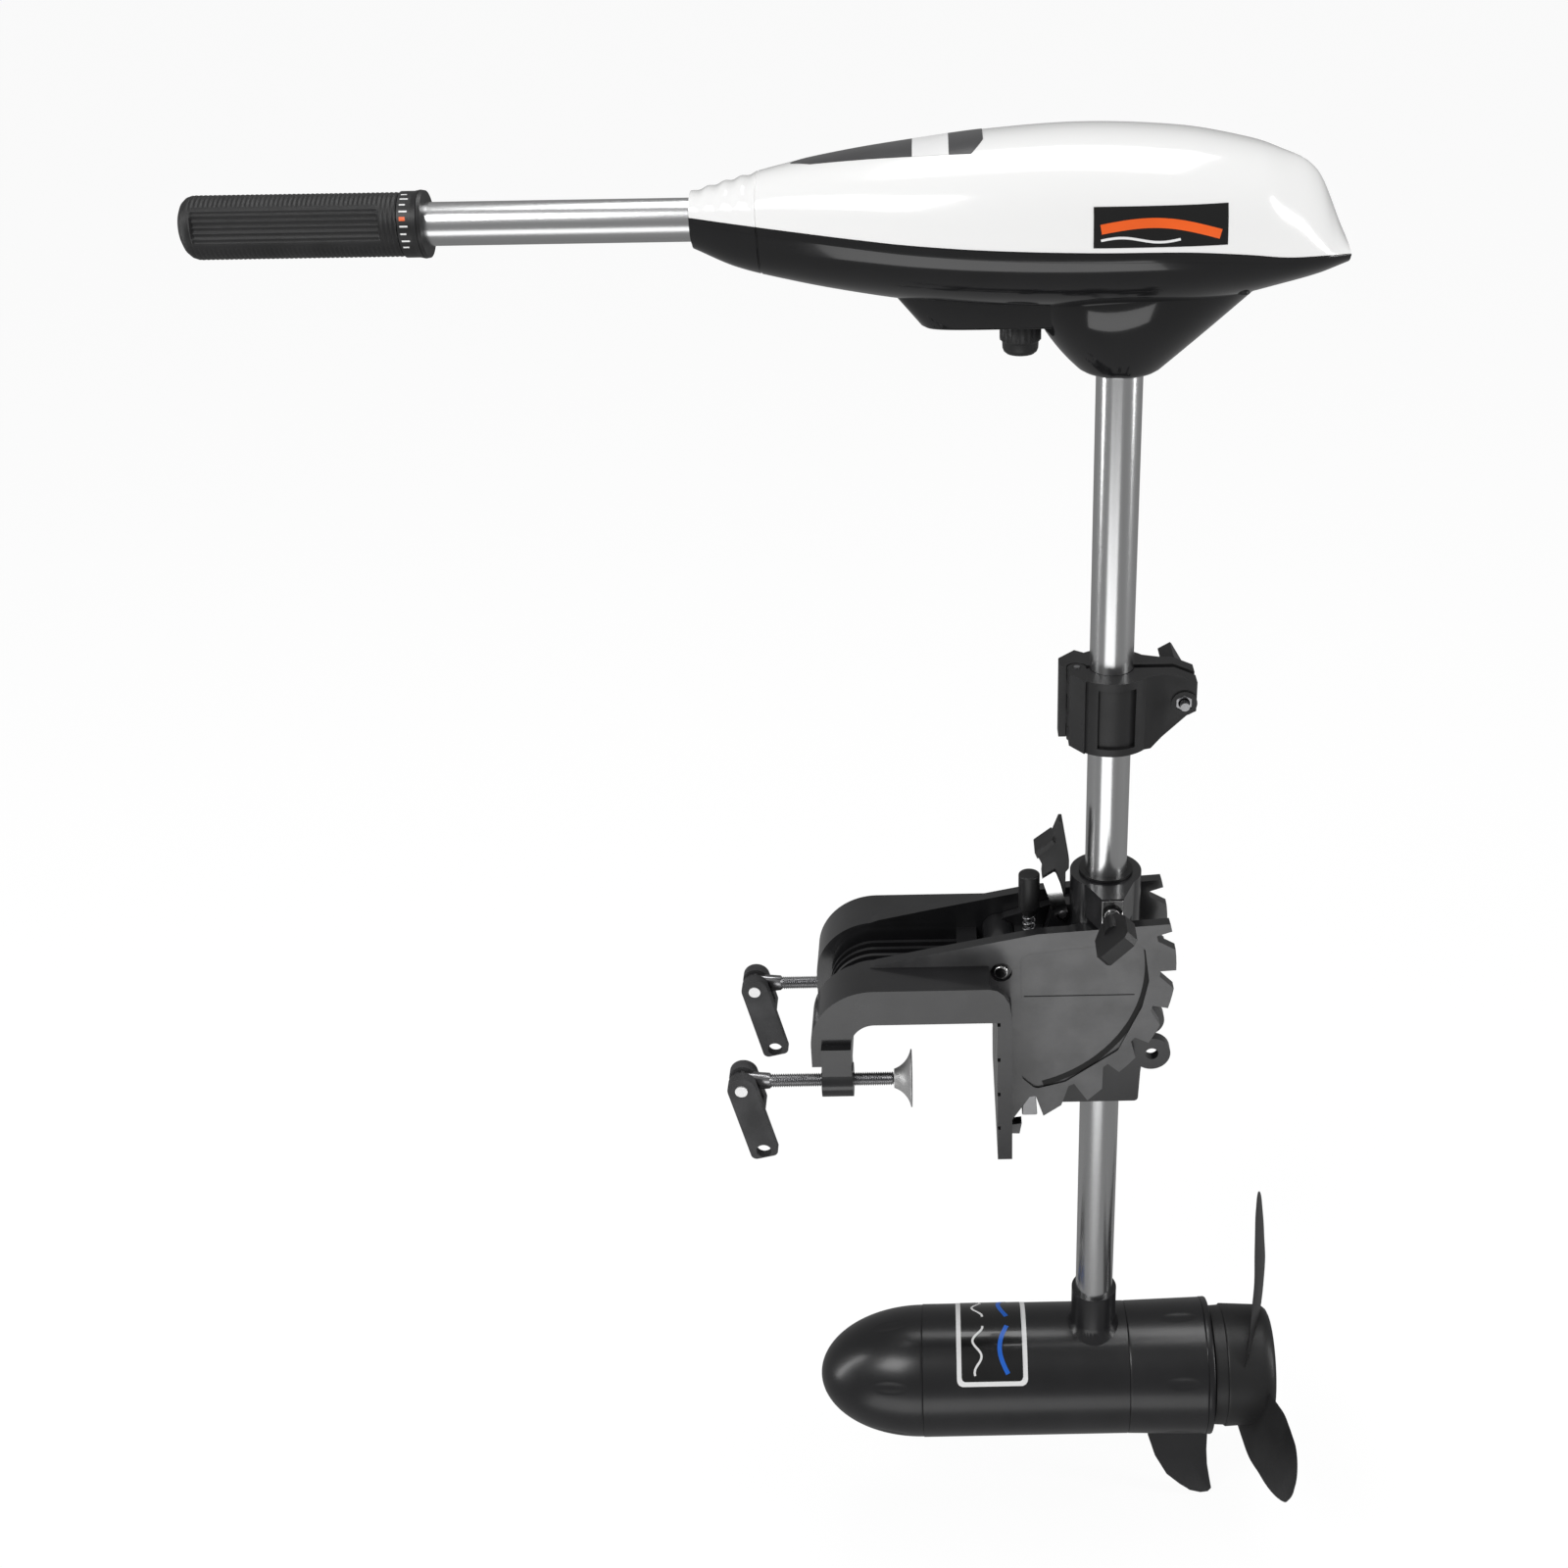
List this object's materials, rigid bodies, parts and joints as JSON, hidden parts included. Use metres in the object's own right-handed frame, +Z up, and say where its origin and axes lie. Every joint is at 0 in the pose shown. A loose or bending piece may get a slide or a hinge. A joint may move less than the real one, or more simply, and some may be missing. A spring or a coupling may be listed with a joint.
{
  "type": "trolling motor",
  "caption": "Transom-mounted electric trolling motor with clamp bracket, tilting and turning shaft, depth collar, telescopic twist-grip tiller and faired propeller drive.",
  "frame": {"origin": "face of the bracket's ribbed transom pad, on the line between the two clamp screws", "axes": "+X away from the boat towards the propeller, +Z up along the shaft, +Y completes the frame"},
  "size_m": [0.6733, 0.2139, 1.0817],
  "materials": {
    "cover_white": "white gloss moulded cover",
    "gloss_black": "black gloss moulding",
    "housing_black": "satin black painted housing",
    "bracket_black": "gloss black painted casting",
    "black_plastic": "satin black plastic",
    "grip_plastic": "fine textured black grip",
    "handle_grey": "sandy dark grey plastic",
    "tube_aluminium": "satin anodised tube",
    "steel": "plain steel",
    "bright_steel": "bright plated steel",
    "rivet_white": "pale rivet head",
    "bush_black": "black bearing plastic",
    "lamination": "stacked steel laminations",
    "magnet_dark": "ferrite",
    "copper": "enamelled copper",
    "carbon": "carbon",
    "seal_rubber": "seal rubber",
    "wire_skin": "coloured wire insulation",
    "switch_plastic": "switch body plastic"
  },
  "bodies": {
    "bracket": {"clamp_bracket": "bracket_black", "pivot_pin": "bright_steel"},
    "clamp_pad_near": {"clamp_cup_near": "bright_steel"},
    "clamp_pad_far": {"clamp_cup_far": "bright_steel"},
    "clamp_screw_near": {"clamp_screw_near": "steel", "handle_rivet_near": "rivet_white"},
    "clamp_screw_far": {"clamp_screw_far": "steel", "handle_rivet_far": "rivet_white"},
    "clamp_handle_near": {"clamp_handle_near": "handle_grey"},
    "clamp_handle_far": {"clamp_handle_far": "handle_grey"},
    "swivel": {"swivel_block": "bracket_black", "tension_plate": "bright_steel", "lever_pin": "steel", "plunger_spring": "steel"},
    "tension_shoe": {"friction_shoe": "bush_black"},
    "tension_knob": {"tension_knob": "black_plastic", "tension_screw": "bright_steel"},
    "lever": {"thumb_lever": "black_plastic", "lever_clevis": "bright_steel"},
    "lock": {"lock_rod": "steel", "lock_knob": "black_plastic", "lock_pawl": "steel"},
    "steering_bush": {"bush_upper": "bush_black", "bush_lower": "bush_black"},
    "shaft": {"shaft_tube": "tube_aluminium", "shaft_wires": "wire_skin", "head_cover": "cover_white", "head_base": "gloss_black", "head_screws": "steel", "cable_gland": "black_plastic", "gland_nut": "black_plastic", "speed_switch": "switch_plastic", "tiller_bush": "bush_black", "nose_cone": "housing_black", "motor_can": "housing_black", "tail_cap": "gloss_black", "magnets": "magnet_dark", "brush_plate": "switch_plastic", "carbon_brushes": "carbon", "bearings": "steel", "shaft_seal": "seal_rubber"},
    "depth_collar": {"collar_rear_half": "black_plastic", "collar_hinge_pin": "steel"},
    "collar_gate": {"collar_front_half": "black_plastic", "collar_nut": "steel"},
    "collar_knob": {"collar_knob": "black_plastic", "collar_bolt": "steel"},
    "tiller": {"tiller_tube": "tube_aluminium", "grip_end_ring": "black_plastic"},
    "grip": {"twist_grip": "grip_plastic", "dial_ring": "black_plastic", "throttle_rod": "steel"},
    "switch": {"switch_rotor": "switch_plastic"},
    "drive": {"armature_core": "lamination", "windings": "copper", "commutator": "copper", "motor_shaft": "steel", "shear_pin": "steel", "propeller": "black_plastic", "prop_nut": "steel"}
  },
  "joints": [
    {"name": "clamp_slide_near", "type": "slide", "parent": "bracket", "child": "clamp_pad_near", "axis": [1, 0, 0], "range_m": [-0.0241, 0.0241]},
    {"name": "clamp_turn_near", "type": "hinge", "parent": "clamp_pad_near", "child": "clamp_screw_near", "pos_m": [-0.1, -0.058, 0], "axis": [1, 0, 0], "range_deg": [-5760, 5760]},
    {"name": "handle_fold_near", "type": "hinge", "parent": "clamp_screw_near", "child": "clamp_handle_near", "pos_m": [-0.1726, -0.058, 0], "axis": [0, 1, 0], "range_deg": [-10, 100]},
    {"name": "clamp_slide_far", "type": "slide", "parent": "bracket", "child": "clamp_pad_far", "axis": [1, 0, 0], "range_m": [-0.0241, 0.0241]},
    {"name": "clamp_turn_far", "type": "hinge", "parent": "clamp_pad_far", "child": "clamp_screw_far", "pos_m": [-0.1, 0.058, 0], "axis": [1, 0, 0], "range_deg": [-5760, 5760]},
    {"name": "handle_fold_far", "type": "hinge", "parent": "clamp_screw_far", "child": "clamp_handle_far", "pos_m": [-0.1726, 0.058, 0], "axis": [0, 1, 0], "range_deg": [-10, 100]},
    {"name": "tilt", "type": "hinge", "parent": "bracket", "child": "swivel", "pos_m": [0.0035, 0, 0.067], "axis": [0, -1, 0], "range_deg": [0, 90]},
    {"name": "tension_slide", "type": "slide", "parent": "swivel", "child": "tension_shoe", "axis": [0, 1, 0], "range_m": [-0.00205, 0.0004]},
    {"name": "tension_turn", "type": "hinge", "parent": "tension_shoe", "child": "tension_knob", "pos_m": [0.0767, -0.04, 0.113], "axis": [0, 1, 0], "range_deg": [-720, 120]},
    {"name": "lever_squeeze", "type": "hinge", "parent": "swivel", "child": "lever", "pos_m": [0.046, 0, 0.0966], "axis": [0, 1, 0], "range_deg": [0, 5], "stiffness_Nm_per_rad": 2, "springref_deg": -2.86},
    {"name": "lock_press", "type": "slide", "parent": "swivel", "child": "lock", "axis": [0, 0, -1], "range_m": [0, 0.014], "stiffness_N_per_m": 600, "springref_m": -0.006, "deforming": ["plunger_spring"]},
    {"name": "steering", "type": "hinge", "parent": "swivel", "child": "steering_bush", "pos_m": [0.075, 0, 0.06], "axis": [0, 0, 1], "continuous": true},
    {"name": "shaft_depth", "type": "slide", "parent": "steering_bush", "child": "shaft", "axis": [0, 0, 1], "range_m": [-0.045, 0.12]},
    {"name": "collar_height", "type": "slide", "parent": "shaft", "child": "depth_collar", "axis": [0, 0, 1], "range_m": [-0.01, 0.165]},
    {"name": "collar_gate", "type": "hinge", "parent": "depth_collar", "child": "collar_gate", "pos_m": [0.053, 0, 0.252], "axis": [0, 0, -1], "range_deg": [0, 1.72]},
    {"name": "collar_turn", "type": "hinge", "parent": "depth_collar", "child": "collar_knob", "pos_m": [0.1205, 0.02, 0.258], "axis": [0, 1, 0], "range_deg": [0, 720]},
    {"name": "tiller_extend", "type": "slide", "parent": "shaft", "child": "tiller", "axis": [1, 0, 0], "range_m": [0, 0.1]},
    {"name": "grip_turn", "type": "hinge", "parent": "tiller", "child": "grip", "pos_m": [-0.4, 0, 0.5615], "axis": [1, 0, 0], "range_deg": [-75, 125]},
    {"name": "switch_turn", "type": "hinge", "parent": "shaft", "child": "switch", "pos_m": [0.023, 0, 0.5615], "axis": [1, 0, 0], "range_deg": [-75, 125]},
    {"name": "propeller_spin", "type": "hinge", "parent": "shaft", "child": "drive", "pos_m": [0.1, 0, -0.33], "axis": [1, 0, 0], "continuous": true}
  ],
  "couplings": [
    {"joint": "clamp_slide_near", "follows": "clamp_turn_near", "m_per_rad": 0.00023873},
    {"joint": "clamp_slide_far", "follows": "clamp_turn_far", "m_per_rad": 0.00023873},
    {"joint": "tension_slide", "follows": "tension_turn", "m_per_rad": 0.00015915},
    {"joint": "collar_gate", "follows": "collar_turn", "ratio": 0.0023578},
    {"joint": "switch_turn", "follows": "grip_turn", "ratio": 1}
  ]
}
